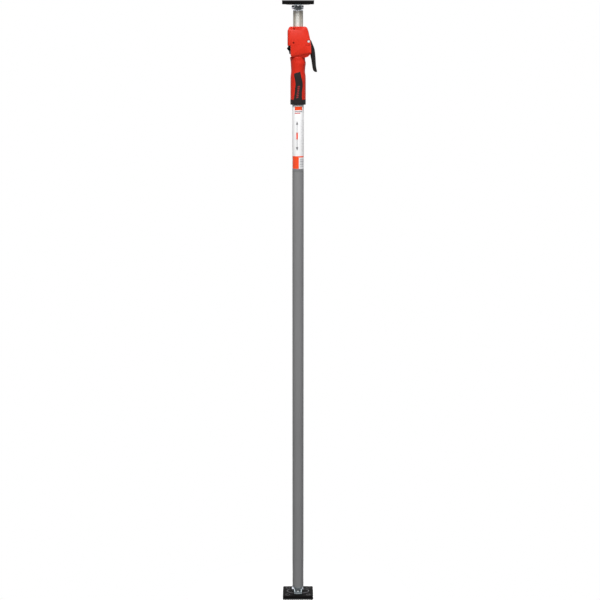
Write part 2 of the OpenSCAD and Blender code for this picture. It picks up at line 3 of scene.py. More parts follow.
import bmesh
import bpy
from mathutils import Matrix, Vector

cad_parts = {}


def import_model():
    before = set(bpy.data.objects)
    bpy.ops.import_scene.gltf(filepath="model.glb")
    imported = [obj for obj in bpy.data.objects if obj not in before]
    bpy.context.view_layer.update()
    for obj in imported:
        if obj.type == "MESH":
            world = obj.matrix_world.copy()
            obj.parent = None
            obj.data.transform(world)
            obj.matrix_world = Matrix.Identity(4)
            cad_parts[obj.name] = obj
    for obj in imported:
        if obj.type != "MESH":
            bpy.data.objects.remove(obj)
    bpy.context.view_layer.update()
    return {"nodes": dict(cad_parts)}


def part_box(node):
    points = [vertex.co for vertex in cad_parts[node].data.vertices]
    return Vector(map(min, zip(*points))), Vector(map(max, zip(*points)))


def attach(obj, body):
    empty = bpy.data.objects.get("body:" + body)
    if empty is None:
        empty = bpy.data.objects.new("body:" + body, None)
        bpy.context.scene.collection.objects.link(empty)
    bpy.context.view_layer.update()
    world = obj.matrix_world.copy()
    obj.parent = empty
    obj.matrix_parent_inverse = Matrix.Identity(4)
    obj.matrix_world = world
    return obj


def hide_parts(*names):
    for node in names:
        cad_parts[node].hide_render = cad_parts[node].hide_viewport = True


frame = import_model()

# Lengths below are in millimetres and turned into metres where a mesh or object is made
MM = 0.001


def node_box(name):
    """Lowest and highest corner of a CAD node, in millimetres."""
    lo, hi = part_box(name)
    return [c / MM for c in lo], [c / MM for c in hi]


def centre(name):
    """Middle of a CAD node's box, in millimetres."""
    lo, hi = node_box(name)
    return [(a + b) / 2 for a, b in zip(lo, hi)]


# Camera: a long lens from eye height, as fitted to the photograph; near and far are in metres
CAM_FOCAL = 98.6
CAM_DISTANCE = 4300
CAM_HEIGHT = 1548
CAM_PITCH = 9.64
CAM_SIDE = 5
CAM_ROLL = -0.02
CAM_NEAR = 0.1
CAM_FAR = 200

cam_data = bpy.data.cameras.new("camera")
cam = bpy.data.objects.new("camera", cam_data)
bpy.context.collection.objects.link(cam)
cam_data.lens = CAM_FOCAL
cam_data.clip_start = CAM_NEAR
cam_data.clip_end = CAM_FAR
cam.location = (CAM_SIDE * MM, -CAM_DISTANCE * MM, CAM_HEIGHT * MM)
cam.rotation_euler = (math.radians(90 - CAM_PITCH), math.radians(CAM_ROLL), 0)
bpy.context.scene.camera = cam

# Materials
EVEN = (1, 1, 1)
NO_SHIFT = (0, 0, 0)


def srgb(r, g, b):
    """Linear colour of an 8-bit sRGB one."""
    def one(c):
        c = c / 255
        return c / 12.92 if c <= 0.04045 else ((c + 0.055) / 1.055) ** 2.4
    return one(r), one(g), one(b), 1


def scaled(colour, k):
    """A colour made darker or lighter."""
    return tuple(min(1, c * k) for c in colour[:3]) + (1,)


def math_node(tree, op, *inputs):
    """A Math node's output; each input is a number or another node's output."""
    n = tree.nodes.new("ShaderNodeMath")
    n.operation = op
    for socket, v in zip(n.inputs, inputs):
        if isinstance(v, (int, float)):
            socket.default_value = v
        else:
            tree.links.new(v, socket)
    return n.outputs[0]


def seen_ray(tree):
    """One for rays from the eye and for those that gloss or glass send on, else zero."""
    path = tree.nodes.new("ShaderNodeLightPath").outputs
    return math_node(tree, "MAXIMUM", path["Is Camera Ray"],
                     math_node(tree, "MAXIMUM", path["Is Glossy Ray"], path["Is Transmission Ray"]))


class Shader:
    """A material with a Principled shader and short calls for the nodes that feed it."""

    def __init__(self, name):
        self.mat = bpy.data.materials.new(name)
        self.mat.use_nodes = True
        self.tree = self.mat.node_tree
        self.bsdf = self.tree.nodes["Principled BSDF"]
        self.coords = self.tree.nodes.new("ShaderNodeTexCoord").outputs["Object"]

    def link(self, a, b):
        self.tree.links.new(a, b)

    def stretched(self, scale, shift=NO_SHIFT):
        """The object's coordinates in metres, scaled and then shifted."""
        m = self.tree.nodes.new("ShaderNodeMapping")
        m.inputs["Scale"].default_value = scale
        m.inputs["Location"].default_value = shift
        self.link(self.coords, m.inputs["Vector"])
        return m.outputs["Vector"]

    def noise(self, scale, detail=3, stretch=EVEN, shift=NO_SHIFT):
        """Noise with about as many features in a metre as scale says."""
        n = self.tree.nodes.new("ShaderNodeTexNoise")
        n.inputs["Scale"].default_value = scale
        n.inputs["Detail"].default_value = detail
        n.inputs["Roughness"].default_value = 0.55
        self.link(self.stretched(stretch, shift), n.inputs["Vector"])
        return n.outputs["Fac"]

    def voronoi(self, scale):
        n = self.tree.nodes.new("ShaderNodeTexVoronoi")
        n.inputs["Scale"].default_value = scale
        self.link(self.stretched(EVEN), n.inputs["Vector"])
        return n.outputs["Distance"]

    def colour(self, value, dark, light, low=0.35, high=0.65):
        """Base colour that runs from dark to light as the value goes from low to high."""
        r = self.tree.nodes.new("ShaderNodeValToRGB")
        for e, position, tone in zip(r.color_ramp.elements, (low, high), (dark, light)):
            e.position = position
            e.color = tone
        self.link(value, r.inputs["Fac"])
        self.link(r.outputs["Color"], self.bsdf.inputs["Base Color"])

    def rough(self, value, low, high):
        r = self.tree.nodes.new("ShaderNodeMapRange")
        r.inputs["To Min"].default_value = low
        r.inputs["To Max"].default_value = high
        self.link(value, r.inputs["Value"])
        self.link(r.outputs["Result"], self.bsdf.inputs["Roughness"])

    def bump(self, value, strength, depth):
        b = self.tree.nodes.new("ShaderNodeBump")
        b.inputs["Strength"].default_value = strength
        b.inputs["Distance"].default_value = depth * MM
        self.link(value, b.inputs["Height"])
        self.link(b.outputs["Normal"], self.bsdf.inputs["Normal"])

    def set(self, **sockets):
        for name, v in sockets.items():
            self.bsdf.inputs[name.replace("_", " ")].default_value = v


def plastic(name, colour, rough=(0.38, 0.5), spread=0.06, depth=0.03, spec=0.5):
    """Moulded plastic: fine spark-eroded grain, slow colour drift, uneven gloss."""
    s = Shader(name)
    drift, sheen, grain = s.noise(22, 4), s.noise(60), s.noise(1800, 2)
    s.colour(drift, scaled(colour, 1 - spread), scaled(colour, 1 + spread))
    s.rough(sheen, *rough)
    s.bump(grain, 0.35, depth)
    s.set(Specular_IOR_Level=spec)
    return s.mat


def ink(name, colour, spread=0.02, spec=0.5):
    """Printed ink: smooth, a little glossy, nearly even in tone."""
    return plastic(name, colour, (0.28, 0.36), spread, 0.01, spec)


def rubber(name, colour):
    """Soft rubber: a coarser pebble grain and a dusty, uneven sheen."""
    s = Shader(name)
    dust, sheen, pebbles = s.noise(35, 5), s.noise(90), s.voronoi(900)
    s.colour(dust, scaled(colour, 0.85), scaled(colour, 1.25))
    s.rough(sheen, 0.62, 0.8)
    s.bump(pebbles, 0.4, 0.08)
    s.set(Specular_IOR_Level=0.25)
    return s.mat


def metal(name, colour, rough, marks=900, metallic=1.0):
    """Plated steel: faint cloudiness of the plating and fine marks in its gloss."""
    s = Shader(name)
    cloud, gloss, relief = s.noise(14, 4), s.noise(marks), s.noise(marks, 2)
    s.colour(cloud, scaled(colour, 0.9), scaled(colour, 1.1))
    s.rough(gloss, *rough)
    s.bump(relief, 0.25, 0.01)
    s.set(Metallic=metallic)
    return s.mat


def drawn_tube_with_painted_shade(name, bright, painted_shade_tone):
    """Bright drawn tube with fine streaks, and broad lengthwise stripes of a duller, warmer tone that are
    painted shade, shifted round so that darker ones run down the tube's flanks.
    """
    s = Shader(name)
    per_metre, shade_stripe_shift = 62, 0.029
    # painted shade: the darker stripes are shifted round onto the tube's flanks
    painted_shade_stripes = s.noise(per_metre, 1, stretch=(1, 1, 0.02), shift=(shade_stripe_shift, 0, 0))
    streaks = s.noise(900, stretch=(1, 1, 0.04))
    s.colour(painted_shade_stripes, painted_shade_tone, bright, 0.42, 0.56)
    s.rough(streaks, 0.3, 0.42)
    s.bump(streaks, 0.25, 0.01)
    s.set(Metallic=0.12)
    return s.mat


def paint(name, colour):
    """Powder coat over tube: orange peel, slow tone drift, a little gloss."""
    s = Shader(name)
    drift, gloss, peel = s.noise(9, 5, stretch=(1, 1, 0.35)), s.noise(130), s.noise(420)
    s.colour(drift, scaled(colour, 0.95), scaled(colour, 1.05))
    s.rough(gloss, 0.36, 0.46)
    s.bump(peel, 0.3, 0.06)
    s.set(Specular_IOR_Level=0.08)
    return s.mat


M = {
    "housing_red": plastic("housing_red_plastic", srgb(226, 50, 30), (0.36, 0.48), spec=0.2),
    "grip_red": plastic("grip_red_plastic", srgb(213, 44, 26), (0.4, 0.52), spec=0.2),
    "lever_black": plastic("lever_black_plastic", srgb(18, 16, 15), (0.34, 0.5), 0.15, spec=0.2),
    "plate_black": plastic("plate_black_plastic", srgb(17, 16, 16), (0.42, 0.6), 0.2, 0.05, 0.02),
    # a lighter, glossier copy of the plate's black plastic for the raised oval and the screw-hole lips:
    # painted highlight
    "plate_black_painted_highlight": plastic("plate_black_highlight_plastic", srgb(78, 76, 80), (0.22, 0.3), 0.15, spec=0.8),
    "acetal": plastic("guide_acetal", srgb(222, 221, 214), (0.35, 0.45)),
    "pad_rubber": rubber("pad_rubber", srgb(17, 16, 16)),
    "grip_rubber": rubber("grip_soft_rubber", srgb(26, 24, 24)),
    "inlay_red": rubber("inlay_red_rubber", srgb(150, 44, 44)),
    "zinc": metal("zinc_steel", srgb(168, 177, 181), (0.42, 0.6), 300),
    "fitting_zinc": metal("fitting_zinc", srgb(132, 136, 138), (0.4, 0.55), 300, 0.35),
    "bright_zinc": metal("bright_zinc", srgb(186, 190, 198), (0.38, 0.5), 260),
    "pin_steel": metal("polished_pin_steel", srgb(226, 226, 226), (0.12, 0.22)),
    "dark_steel": metal("dark_steel", srgb(96, 94, 90), (0.35, 0.5)),
    "spring": metal("spring_wire", srgb(176, 180, 184), (0.2, 0.3)),
    # the screw heads' dark red is painted shade of their recesses
    "screw_painted_shade": metal("screw_shade_red", srgb(140, 34, 30), (0.35, 0.5), metallic=0.4),
    "tube_paint": paint("tube_grey_paint", srgb(131, 131, 132)),
    # the bright tube's darker lengthwise stripes are painted shade
    "tube_bright": drawn_tube_with_painted_shade("tube_bright_steel", srgb(214, 212, 205), srgb(154, 147, 133)),
    "label_white": plastic("label_white_film", srgb(254, 254, 255), (0.22, 0.3), 0.012, 0.01, 0.9),
    "label_clear": plastic("label_clear_tail", srgb(120, 121, 123), (0.15, 0.22), 0.03, 0.01),
    "label_orange": ink("label_orange_ink", srgb(255, 78, 26), spec=0.3),
    "label_red": ink("label_red_ink", srgb(214, 88, 84)),
    "label_grey": ink("label_grey_ink", srgb(176, 176, 180), 0.03),
    # a pale grey laid on the white film's right flank as painted shade
    "label_painted_shade": ink("label_shade_grey", srgb(224, 224, 227)),
    "label_dark": ink("label_dark_ink", srgb(92, 92, 96), 0.05),
}


# Mesh helpers: everything takes millimetres
def make(name, verts, faces, mat, angle=35):
    """A mesh object from points and faces, smooth but for edges sharper than angle."""
    me = bpy.data.meshes.new(name)
    me.from_pydata([tuple(c * MM for c in v) for v in verts], [], faces)
    me.validate()
    bm = bmesh.new()
    bm.from_mesh(me)
    bmesh.ops.remove_doubles(bm, verts=bm.verts, dist=0.002 * MM)
    bmesh.ops.recalc_face_normals(bm, faces=bm.faces)
    bm.to_mesh(me)
    bm.free()
    me.materials.append(M[mat])
    o = bpy.data.objects.new(name, me)
    bpy.context.collection.objects.link(o)
    shade(o, angle)
    return o


def shade(o, angle):
    """Smooth shading, broken at edges sharper than angle."""
    for p in o.data.polygons:
        p.use_smooth = True
    o.data.set_sharp_from_angle(angle=math.radians(angle))


def baked(o, angle=35):
    """Applies an object's modifiers to its mesh."""
    dg = bpy.context.evaluated_depsgraph_get()
    me = bpy.data.meshes.new_from_object(o.evaluated_get(dg))
    o.modifiers.clear()
    o.data = me
    shade(o, angle)
    return o


def bevelled(o, width, segments=3, angle=35, limit=30):
    """Rounds the edges that are sharper than limit."""
    b = o.modifiers.new("bevel", "BEVEL")
    b.width = width * MM
    b.segments = segments
    b.limit_method = "ANGLE"
    b.angle_limit = math.radians(limit)
    b.harden_normals = False
    return baked(o, angle)


def carved(o, operation, tools):
    """Works the tools on an object and removes them."""
    for t in tools:
        m = o.modifiers.new("carve", "BOOLEAN")
        m.operation = operation
        m.solver = "EXACT"
        m.object = t
    baked(o)
    for t in tools:
        bpy.data.objects.remove(t, do_unlink=True)
    return o


def cut(o, *tools):
    """Takes the tools away from an object."""
    return carved(o, "DIFFERENCE", tools)


def joined(name, *objects):
    """One object from several, each keeping its own material."""
    with bpy.context.temp_override(active_object=objects[0], selected_editable_objects=list(objects)):
        bpy.ops.object.join()
    objects[0].name = name
    return objects[0]


def reflected(o, axis, total=0.0):
    """Mirrors an object's mesh; a coordinate and its image add up to the total, in metres."""
    for v in o.data.vertices:
        v.co[axis] = total - v.co[axis]
    o.data.flip_normals()
    o.data.update()
    return o


def other_side(o, name):
    """A copy of a piece, mirrored through the middle plane."""
    p = bpy.data.objects.new(name, o.data.copy())
    bpy.context.collection.objects.link(p)
    return reflected(p, 1)


def revolve(name, profile, mat, segments=96, at=(0, 0, 0), axis="z", closed=True):
    """Turns a profile of (radius, height) about an axis; one that isn't closed ends on the axis."""
    verts, faces = [], []
    n = len(profile)
    for k in range(segments):
        a = 2 * math.pi * k / segments
        for r, h in profile:
            p = (r * math.cos(a), r * math.sin(a), h)
            if axis == "x":
                p = (p[2], p[0], p[1])
            if axis == "y":
                p = (p[1], p[2], p[0])
            verts.append(tuple(p[i] + at[i] for i in range(3)))
    last = n if closed else n - 1
    for k in range(segments):
        a, b = k * n, ((k + 1) % segments) * n
        for i in range(last):
            j = (i + 1) % n
            faces.append((a + i, b + i, b + j, a + j))
    return make(name, verts, faces, mat)


def arc(cx, cz, r, start, turn, steps):
    """Points on an arc, from the start angle through the turn, in degrees."""
    angles = [math.radians(start + turn * s / steps) for s in range(steps + 1)]
    return [(cx + r * math.cos(a), cz + r * math.sin(a)) for a in angles]


def rim(r0, r1, z0, z1, edge):
    """Closed profile of a ring with rounded edges."""
    return (arc(r1 - edge, z1 - edge, edge, 0, 90, 3) + arc(r0 + edge, z1 - edge, edge, 90, 90, 3)
            + arc(r0 + edge, z0 + edge, edge, 180, 90, 3) + arc(r1 - edge, z0 + edge, edge, 270, 90, 3))


def rod(r, z0, z1, edge):
    """Profile of a rod with rounded ends, from the axis out and back."""
    return ([(0, z0)] + arc(r - edge, z0 + edge, edge, -90, 90, 3)
            + arc(r - edge, z1 - edge, edge, 0, 90, 3) + [(0, z1)])


def corner(points, radii, steps=6):
    """Outline with its corners rounded: each corner gives steps + 1 points."""
    out = []
    n = len(points)
    for i in range(n):
        p = Vector(points[i])
        a = Vector(points[i - 1]) - p
        b = Vector(points[(i + 1) % n]) - p
        half = a.angle(b) / 2
        reach = min(radii[i] / max(math.tan(half), 1e-6), a.length * 0.49, b.length * 0.49)
        start, end = p + a.normalized() * reach, p + b.normalized() * reach
        for s in range(steps + 1):
            t = s / steps
            out.append(tuple(start * (1 - t) ** 2 + p * (2 * t * (1 - t)) + end * t ** 2))
    return out


def ring_faces(rings, loop):
    """Faces between rings of equal length, closed round each ring."""
    return [(k * loop + i, k * loop + (i + 1) % loop, (k + 1) * loop + (i + 1) % loop, (k + 1) * loop + i)
            for k in range(rings - 1) for i in range(loop)]


def capped(rings, loop):
    """Faces between rings, with one more over the first ring and the last."""
    return ring_faces(rings, loop) + [tuple(range(loop)), tuple(range(loop * (rings - 1), loop * rings))]


def prism(name, outline, y0, y1, mat, bevel=0.0, segments=3, angle=35, plane="xz"):
    """An outline drawn out between two depths, with bevelled edges."""
    verts = []
    for y in (y0, y1):
        for u, v in outline:
            verts.append({"xz": (u, y, v), "yz": (y, u, v), "xy": (u, v, y)}[plane])
    o = make(name, verts, capped(2, len(outline)), mat, angle)
    return bevelled(o, bevel, segments, angle) if bevel else o


def done(o, body, *nodes, slot):
    """Hands a piece over: its body and the CAD nodes it stands for; the slot argument is not used."""
    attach(o, body)
    if nodes:
        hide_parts(*nodes)


# Places from the frame
tube_lo, tube_hi = node_box("outer_tube")
inner_lo, inner_hi = node_box("inner_tube")
house_lo, house_hi = node_box("housing_front")
collar_lo, collar_hi = node_box("grip_collar")
bolt_lo, bolt_hi = node_box("foot_bolt")
bracket_lo, bracket_hi = node_box("foot_bracket")
label_lo, label_hi = node_box("label_sleeve")
pad_hi = node_box("foot_pad")[1]
plate_hi = node_box("foot_plate")[1]
rivet_hi = node_box("foot_rivets")[1]
fitting_hi = node_box("foot_fitting")[1]
POLE_TOP = node_box("head_pad")[1][2]
TUBE_R = tube_hi[0]
INNER_R = inner_hi[0]
LEVER = (centre("lever_pin")[0], centre("lever_pin")[2])
RELEASE = (centre("release_pin")[0], centre("release_pin")[2])
TOP = house_hi[2]
HALF_Y = -house_lo[1]
HINGE_Z = centre("foot_bolt")[2]

# Play between a moving piece and its neighbour, and how far a cutting tool stands out
PLAY = 0.3
OVER = 1

# Plate and pad: screw holes with their sinks and lips, corners and the raised oval
HOLES_OUT = 28
HOLES = [(x, y) for x in (-HOLES_OUT, HOLES_OUT) for y in (-HOLES_OUT, HOLES_OUT)]
HOLE_R = 2.5
SINK_R = 4.5
SINK_H = 2
LIP_W = 0.9
LIP_H = 0.3
PLATE_CORNER = 4
OVAL_HALF_X = 30.5
OVAL_HALF_Y = 19
OVAL_W = 1.8
OVAL_H = plate_hi[2] - bracket_lo[2]


def square(half):
    """A square with rounded corners."""
    pts = [(-half, -half), (half, -half), (half, half), (-half, half)]
    return corner(pts, [PLATE_CORNER] * 4)


def drilled(o, profile, mat):
    """Cuts the same turned profile at each screw place."""
    return cut(o, *[revolve("tool", profile, mat, 32, (x, y, 0), closed=False) for x, y in HOLES])


def foot_pad(name):
    mat, top = "pad_rubber", pad_hi[2]
    o = prism(name, square(pad_hi[0]), 0, top, mat, 0.7, 3, plane="xy")
    return drilled(o, [(0, -OVER), (HOLE_R, -OVER), (HOLE_R, top + OVER), (0, top + OVER)], mat)


def oval_rib(z):
    """The raised oval, broken where the bracket lies."""
    # the oval is the plate's black plastic, painted lighter as a highlight
    mat, root = "plate_black_painted_highlight", 1
    o = revolve("rib", rim(OVAL_HALF_X - OVAL_W, OVAL_HALF_X, z - root, z + OVAL_H, 0.8), mat, 160)
    for v in o.data.vertices:
        v.co.y *= OVAL_HALF_Y / OVAL_HALF_X
    x, y, z_reach = bracket_hi[0] + PLAY, 40, 3
    gap = prism("tool", [(-x, -y), (x, -y), (x, y), (-x, y)], z - z_reach, z + z_reach, mat, plane="xy")
    return cut(o, gap)


def foot_plate(name):
    mat, z0, z1 = "plate_black", pad_hi[2], bracket_lo[2]
    o = prism(name, square(plate_hi[0]), z0, z1, mat, 1.3, 4, plane="xy")
    drilled(o, [(0, z0 - OVER), (HOLE_R, z0 - OVER), (HOLE_R, z1 - SINK_H), (SINK_R, z1 + 0.02),
                (SINK_R, z1 + OVER), (0, z1 + OVER)], mat)
    # the lips take the lighter copy of the plate's plastic as a painted highlight
    lip = rim(SINK_R - 0.1, SINK_R + LIP_W, z1 - 2 * LIP_H, z1 + LIP_H, 0.28)
    lips = [revolve("lip", lip, "plate_black_painted_highlight", 40, (x, y, 0)) for x, y in HOLES]
    return joined(name, o, oval_rib(z1), *lips)


# Hinge: a folded bracket with its rivets, a bolt with its nut, and the eye that turns on it
SHEET = 2.4
OUTER_BEND = 1.8
INNER_BEND = 0.8
SHARP = 0.1
EAR_R = 5.7
EYE_R = 5
EYE_HALF = bracket_hi[0] - SHEET - PLAY
EYE_SHOULDER = 0.66 * INNER_R
FLANGE_H = 2.4
RIVET_R = 3
RIVET_DOME = [(0, -1), (2.6, -1), (3, 0), (3, 0.6), (2.8, 1.4), (2.2, 2.1), (1.2, 2.5), (0, 2.6)]
HEX_FLATS = 10
BOLT_R = 3


def foot_bracket(name):
    """A strip folded up at both sides; its ears lean in from their foot to a round top."""
    half_x, half_y = bracket_hi[0], bracket_hi[1]
    z0, inner, tall = bracket_lo[2], half_x - SHEET, 40
    u = [(-half_x, z0), (half_x, z0), (half_x, z0 + tall), (inner, z0 + tall), (inner, z0 + SHEET),
         (-inner, z0 + SHEET), (-inner, z0 + tall), (-half_x, z0 + tall)]
    bends = [OUTER_BEND, OUTER_BEND, SHARP, SHARP, INNER_BEND, INNER_BEND, SHARP, SHARP]
    o = prism(name, corner(u, bends, 5), -half_y, half_y, "zinc")
    foot, floor = 0.46 * half_y, z0 + SHEET + 0.05
    lean = 0.9 * math.degrees(math.atan2(foot - EAR_R, HINGE_Z - z0 - SHEET))
    side = [(-half_y, z0 - OVER), (half_y, z0 - OVER), (half_y, floor), (foot, floor)]
    side += arc(0, HINGE_Z, EAR_R, lean, 180 - 2 * lean, 16)
    side += [(-foot, floor), (-half_y, floor)]
    carved(o, "INTERSECT", [prism("keep", side, -20, 20, "zinc", plane="yz")])
    return bevelled(o, 0.25, 2, 40, 40)


def foot_rivets(name):
    z, y = bracket_lo[2] + SHEET, rivet_hi[1] - RIVET_R
    dome = [(r, z + h) for r, h in RIVET_DOME]
    domes = [revolve("rivet", dome, "pin_steel", 40, (0, s * y, 0), closed=False) for s in (-1, 1)]
    return joined(name, *domes)


def hexagon(name, x0, x1):
    r = HEX_FLATS / 2 / math.cos(math.radians(30))
    return prism(name, arc(0, HINGE_Z, r, 0, 300, 5), x0, x1, "bright_zinc", 0.45, 3, 30, plane="yz")


def on_hinge(name, profile, closed=False):
    """A part of the bolt or nut, turned about the hinge's axis."""
    return revolve(name, profile, "bright_zinc", 48, (0, 0, HINGE_Z), "x", closed)


def foot_bolt(name):
    x0, x1, tip = bolt_lo[0], bracket_hi[0], bolt_hi[0]
    head = hexagon(name, x1, tip - 0.5)
    return joined(name, head, on_hinge("face", rod(4.2, tip - 1.2, tip, 0.5)),
                  on_hinge("shank", rod(BOLT_R, x0, x1, 0.6)))


def foot_nut(name):
    x1 = bracket_lo[0]
    body = hexagon(name, bolt_lo[0] + 0.9, x1 - 0.4)
    return joined(name, body, on_hinge("collar", rim(BOLT_R - 0.1, 5.2, x1 - 0.9, x1, 0.3), True))


def eye(name, z_rim):
    """The eye that turns on the bolt, widening to the tube's end."""
    side = [(EYE_SHOULDER, z_rim), (-EYE_SHOULDER, z_rim)] + arc(0, HINGE_Z, EYE_R, 200, 140, 16)
    return prism(name, side, -EYE_HALF, EYE_HALF, "fitting_zinc", 0.6, 3, plane="yz")


def end_flange(z, r, mat):
    """The round flange that closes a tube's end: a rim that lacks its upper inner corner."""
    edge = rim(4, r, z, z + FLANGE_H, 0.7)
    return revolve("flange", [(0, z)] + edge[8:] + edge[:4] + [(0, z + FLANGE_H)], mat, 96, closed=False)


def foot_fitting(name):
    z, top, r, taper = tube_lo[2] - FLANGE_H, fitting_hi[2], TUBE_R - 1.3, 0.6
    plug = revolve("plug", [(0, z + 1), (r, z + 1), (r, top - taper), (r - taper, top), (0, top)], "zinc", 64,
                   closed=False)
    return joined(name, eye(name, z + 0.5), end_flange(z, TUBE_R, "fitting_zinc"), plug)


def head_fitting(name):
    z = POLE_TOP - inner_hi[2] - FLANGE_H
    return joined(name, eye(name, z + 0.5), end_flange(z, INNER_R, "bright_zinc"))


# Each plate's pieces ride on a body of the same name as the end; the fitting rides on the tube
PLATE_PIECES = [
    (foot_pad, "rubber_pad", "pad", "black_rubber"),
    (foot_plate, "moulded_plate", "plate", "black_plastic"),
    (foot_bracket, "folded_bracket", "bracket", "zinc_steel"),
    (foot_rivets, "dome_rivets", "rivets", "zinc_bright"),
    (foot_bolt, "hex_bolt", "bolt", "zinc_bright"),
    (foot_nut, "lock_nut", "nut", "zinc_bright"),
]


def plate_set(end, tube_body, fitting):
    """All pieces of one end; those of the head are built at the foot and turned upside down."""
    def placed(o):
        return o if end == "foot" else reflected(o, 2, POLE_TOP * MM)

    for build, look, node, slot in PLATE_PIECES:
        done(placed(build(end + "_" + look)), end, end + "_" + node, slot=slot)
    done(placed(fitting(end + "_eye_fitting")), tube_body, end + "_fitting", slot="zinc_steel")


plate_set("foot", "pole", foot_fitting)
plate_set("head", "inner", head_fitting)

# Tubes: open at their ends, with rolled rims, and the cross pins as shallow domes
OUTER_WALL = 1.2
INNER_WALL = 1.5
PIN_R = 1.75
HEAD_PIN_TURN = 90 - 11.5


def tube(name, r, wall, z0, z1, mat):
    return revolve(name, rim(r - wall, r, z0, z1, 0.45), mat, 128)


def cross_pin(name, half, z, turn):
    """A pin through the tube, its ends staked into shallow domes."""
    r, flat, dome, edge = PIN_R, 0.6, 0.05, 0.5
    end = [(0, -half), (r - flat, dome - half), (r, edge - half), (r, half - edge), (r - flat, half - dome),
           (0, half)]
    o = revolve(name, end, "dark_steel", 40, axis="x", closed=False)
    c, s = math.cos(math.radians(turn)), math.sin(math.radians(turn))
    for v in o.data.vertices:
        x, y = v.co.x, v.co.y
        v.co.x, v.co.y, v.co.z = x * c - y * s, x * s + y * c, v.co.z + z * MM
    return o


done(tube("outer_painted_tube", TUBE_R, OUTER_WALL, tube_lo[2], tube_hi[2], "tube_paint"),
     "pole", "outer_tube", slot="grey_paint")
done(tube("inner_bright_tube", INNER_R, INNER_WALL, inner_lo[2], inner_hi[2], "tube_bright"),
     "inner", "inner_tube", slot="bright_tube")
done(cross_pin("foot_cross_pin", TUBE_R, centre("foot_fitting_pin")[2], 0),
     "pole", "foot_fitting_pin", slot="zinc_steel")
done(cross_pin("head_cross_pin", INNER_R + 0.02, centre("head_fitting_pin")[2], HEAD_PIN_TURN),
     "inner", "head_fitting_pin", slot="zinc_steel")

# Housing: two red shells that meet at the middle plane. Each outline gives corners and their radii
HOUSING_WALL = 2.5
FACE_WALL = 3.2
CAP_Y = 15.5
SEAM = 0.3
SEAM_SHARE = 0.01
LEFT = house_lo[0]
RIGHT = house_hi[0]
NOTCH_X = -19.6
NOTCH_Z = TOP - 49.4
SLOT_TOP = TOP - 47.6
FLANGE_Z = TOP - 77.8
SEEN_FROM_SIDE = [
    ((LEFT, TOP - 10.5), 8), ((-22.2, TOP), 6), ((22.6, TOP), 8), ((27, TOP - 12.5), 20),
    ((31.8, TOP - 34), 24), ((34, TOP - 51), 16), ((RIGHT, TOP - 66.8), 5), ((26, TOP - 77), 6),
    ((18.4, TOP - 79.2), 2), ((-18, FLANGE_Z), 2), ((NOTCH_X, TOP - 71.5), 2.5), ((NOTCH_X, NOTCH_Z), 0.8),
    ((LEFT, NOTCH_Z), 2.2),
]
SEEN_ON_FACE = [
    ((LEFT + 5, TOP - 12.5), 6), ((-18.6, TOP - 3), 5), ((20.6, TOP - 3), 5), ((23.6, TOP - 13.4), 14),
    ((28.4, TOP - 34.8), 20), ((30.9, TOP - 52), 14), ((32.2, TOP - 66), 5), ((21, TOP - 74), 6),
    ((14, TOP - 76), 3), ((-16.6, TOP - 76.8), 2), ((NOTCH_X + 1.2, TOP - 70.9), 2.5),
    ((NOTCH_X + 1.2, NOTCH_Z + 1.6), 0.8), ((LEFT + 5, NOTCH_Z + 1.6), 2.2),
]
SCREWS_AT = ((-10.2, 6), (-11.5, 41.8))
SCREW_R = 2.5
SCREW_Y = HALF_Y - 2.2
WELL_R = SCREW_R + 0.05
BOSS_R = 4.2
LEVER_SLOT = 11.2
RELEASE_SLOT = 6.4
TUBE_PLAY = 0.5
SLEEVE_BORE = 16.3


def inset(points, d):
    """Corner points of a clockwise outline moved inwards by d."""
    out = []
    n = len(points)
    for i in range(n):
        p, a, b = Vector(points[i]), Vector(points[i - 1]), Vector(points[(i + 1) % n])
        u, v = (p - a).normalized(), (b - p).normalized()
        nu, nv = Vector((u.y, -u.x)), Vector((v.y, -v.x))
        k = (nu + nv) / max(1 + nu.dot(nv), 0.35)
        out.append(tuple(p + k * d))
    return out


def rounded_outline(table, d):
    """The outline of a table of (corner, radius), moved inwards by d."""
    return corner(inset([p for p, _ in table], d), [r for _, r in table])


def shell_form(name, d, y_front, y_side, y_back, seam=False):
    """The front shell's outer form, or its hollow when d is the wall."""
    side, face = rounded_outline(SEEN_FROM_SIDE, d), rounded_outline(SEEN_ON_FACE, d)
    rings = []
    if seam:
        rings.append([(x * (1 - SEAM_SHARE), y_back, z) for x, z in side])
        y_back -= SEAM
    rings.append([(x, y_back, z) for x, z in side])
    steps = 9
    for s in range(steps + 1):
        a = math.pi / 2 * s / steps
        c, e = math.cos(a), math.sin(a)
        rings.append([(fx + (x - fx) * c, -y_side - (y_front - y_side) * e, fz + (z - fz) * c)
                      for (x, z), (fx, fz) in zip(side, face)])
    verts = [p for r in rings for p in r]
    return make(name, verts, capped(len(rings), len(side)), "housing_red", 30)


def peg(x, z, r, floor_y):
    """A tool that sinks a round recess into the face."""
    start = -HALF_Y - 5
    return revolve("tool", [(0, start), (r, start), (r, floor_y), (0, floor_y)], "housing_red", 40, (x, 0, z),
                   "y", False)


def bore(r, top):
    """A tool that opens the shell round the pole's axis, up to a height."""
    low = TOP - 200
    return revolve("tool", [(0, low), (r, low), (r, top), (0, top)], "housing_red", 96, closed=False)


def solid(points):
    """A box-like tool from its four lower and four upper corners."""
    faces = [(0, 1, 2, 3), (4, 5, 6, 7), (0, 1, 5, 4), (1, 2, 6, 5), (2, 3, 7, 6), (3, 0, 4, 7)]
    return make("tool", points, faces, "housing_red")


def opening(x0, x1, half, z0, z1):
    """A tool that opens the shell's edge as far as half from the middle plane."""
    past = 5
    return solid([(x, y, z) for z in (z0, z1) for x, y in ((x0, -half), (x1, -half), (x1, past), (x0, past))])


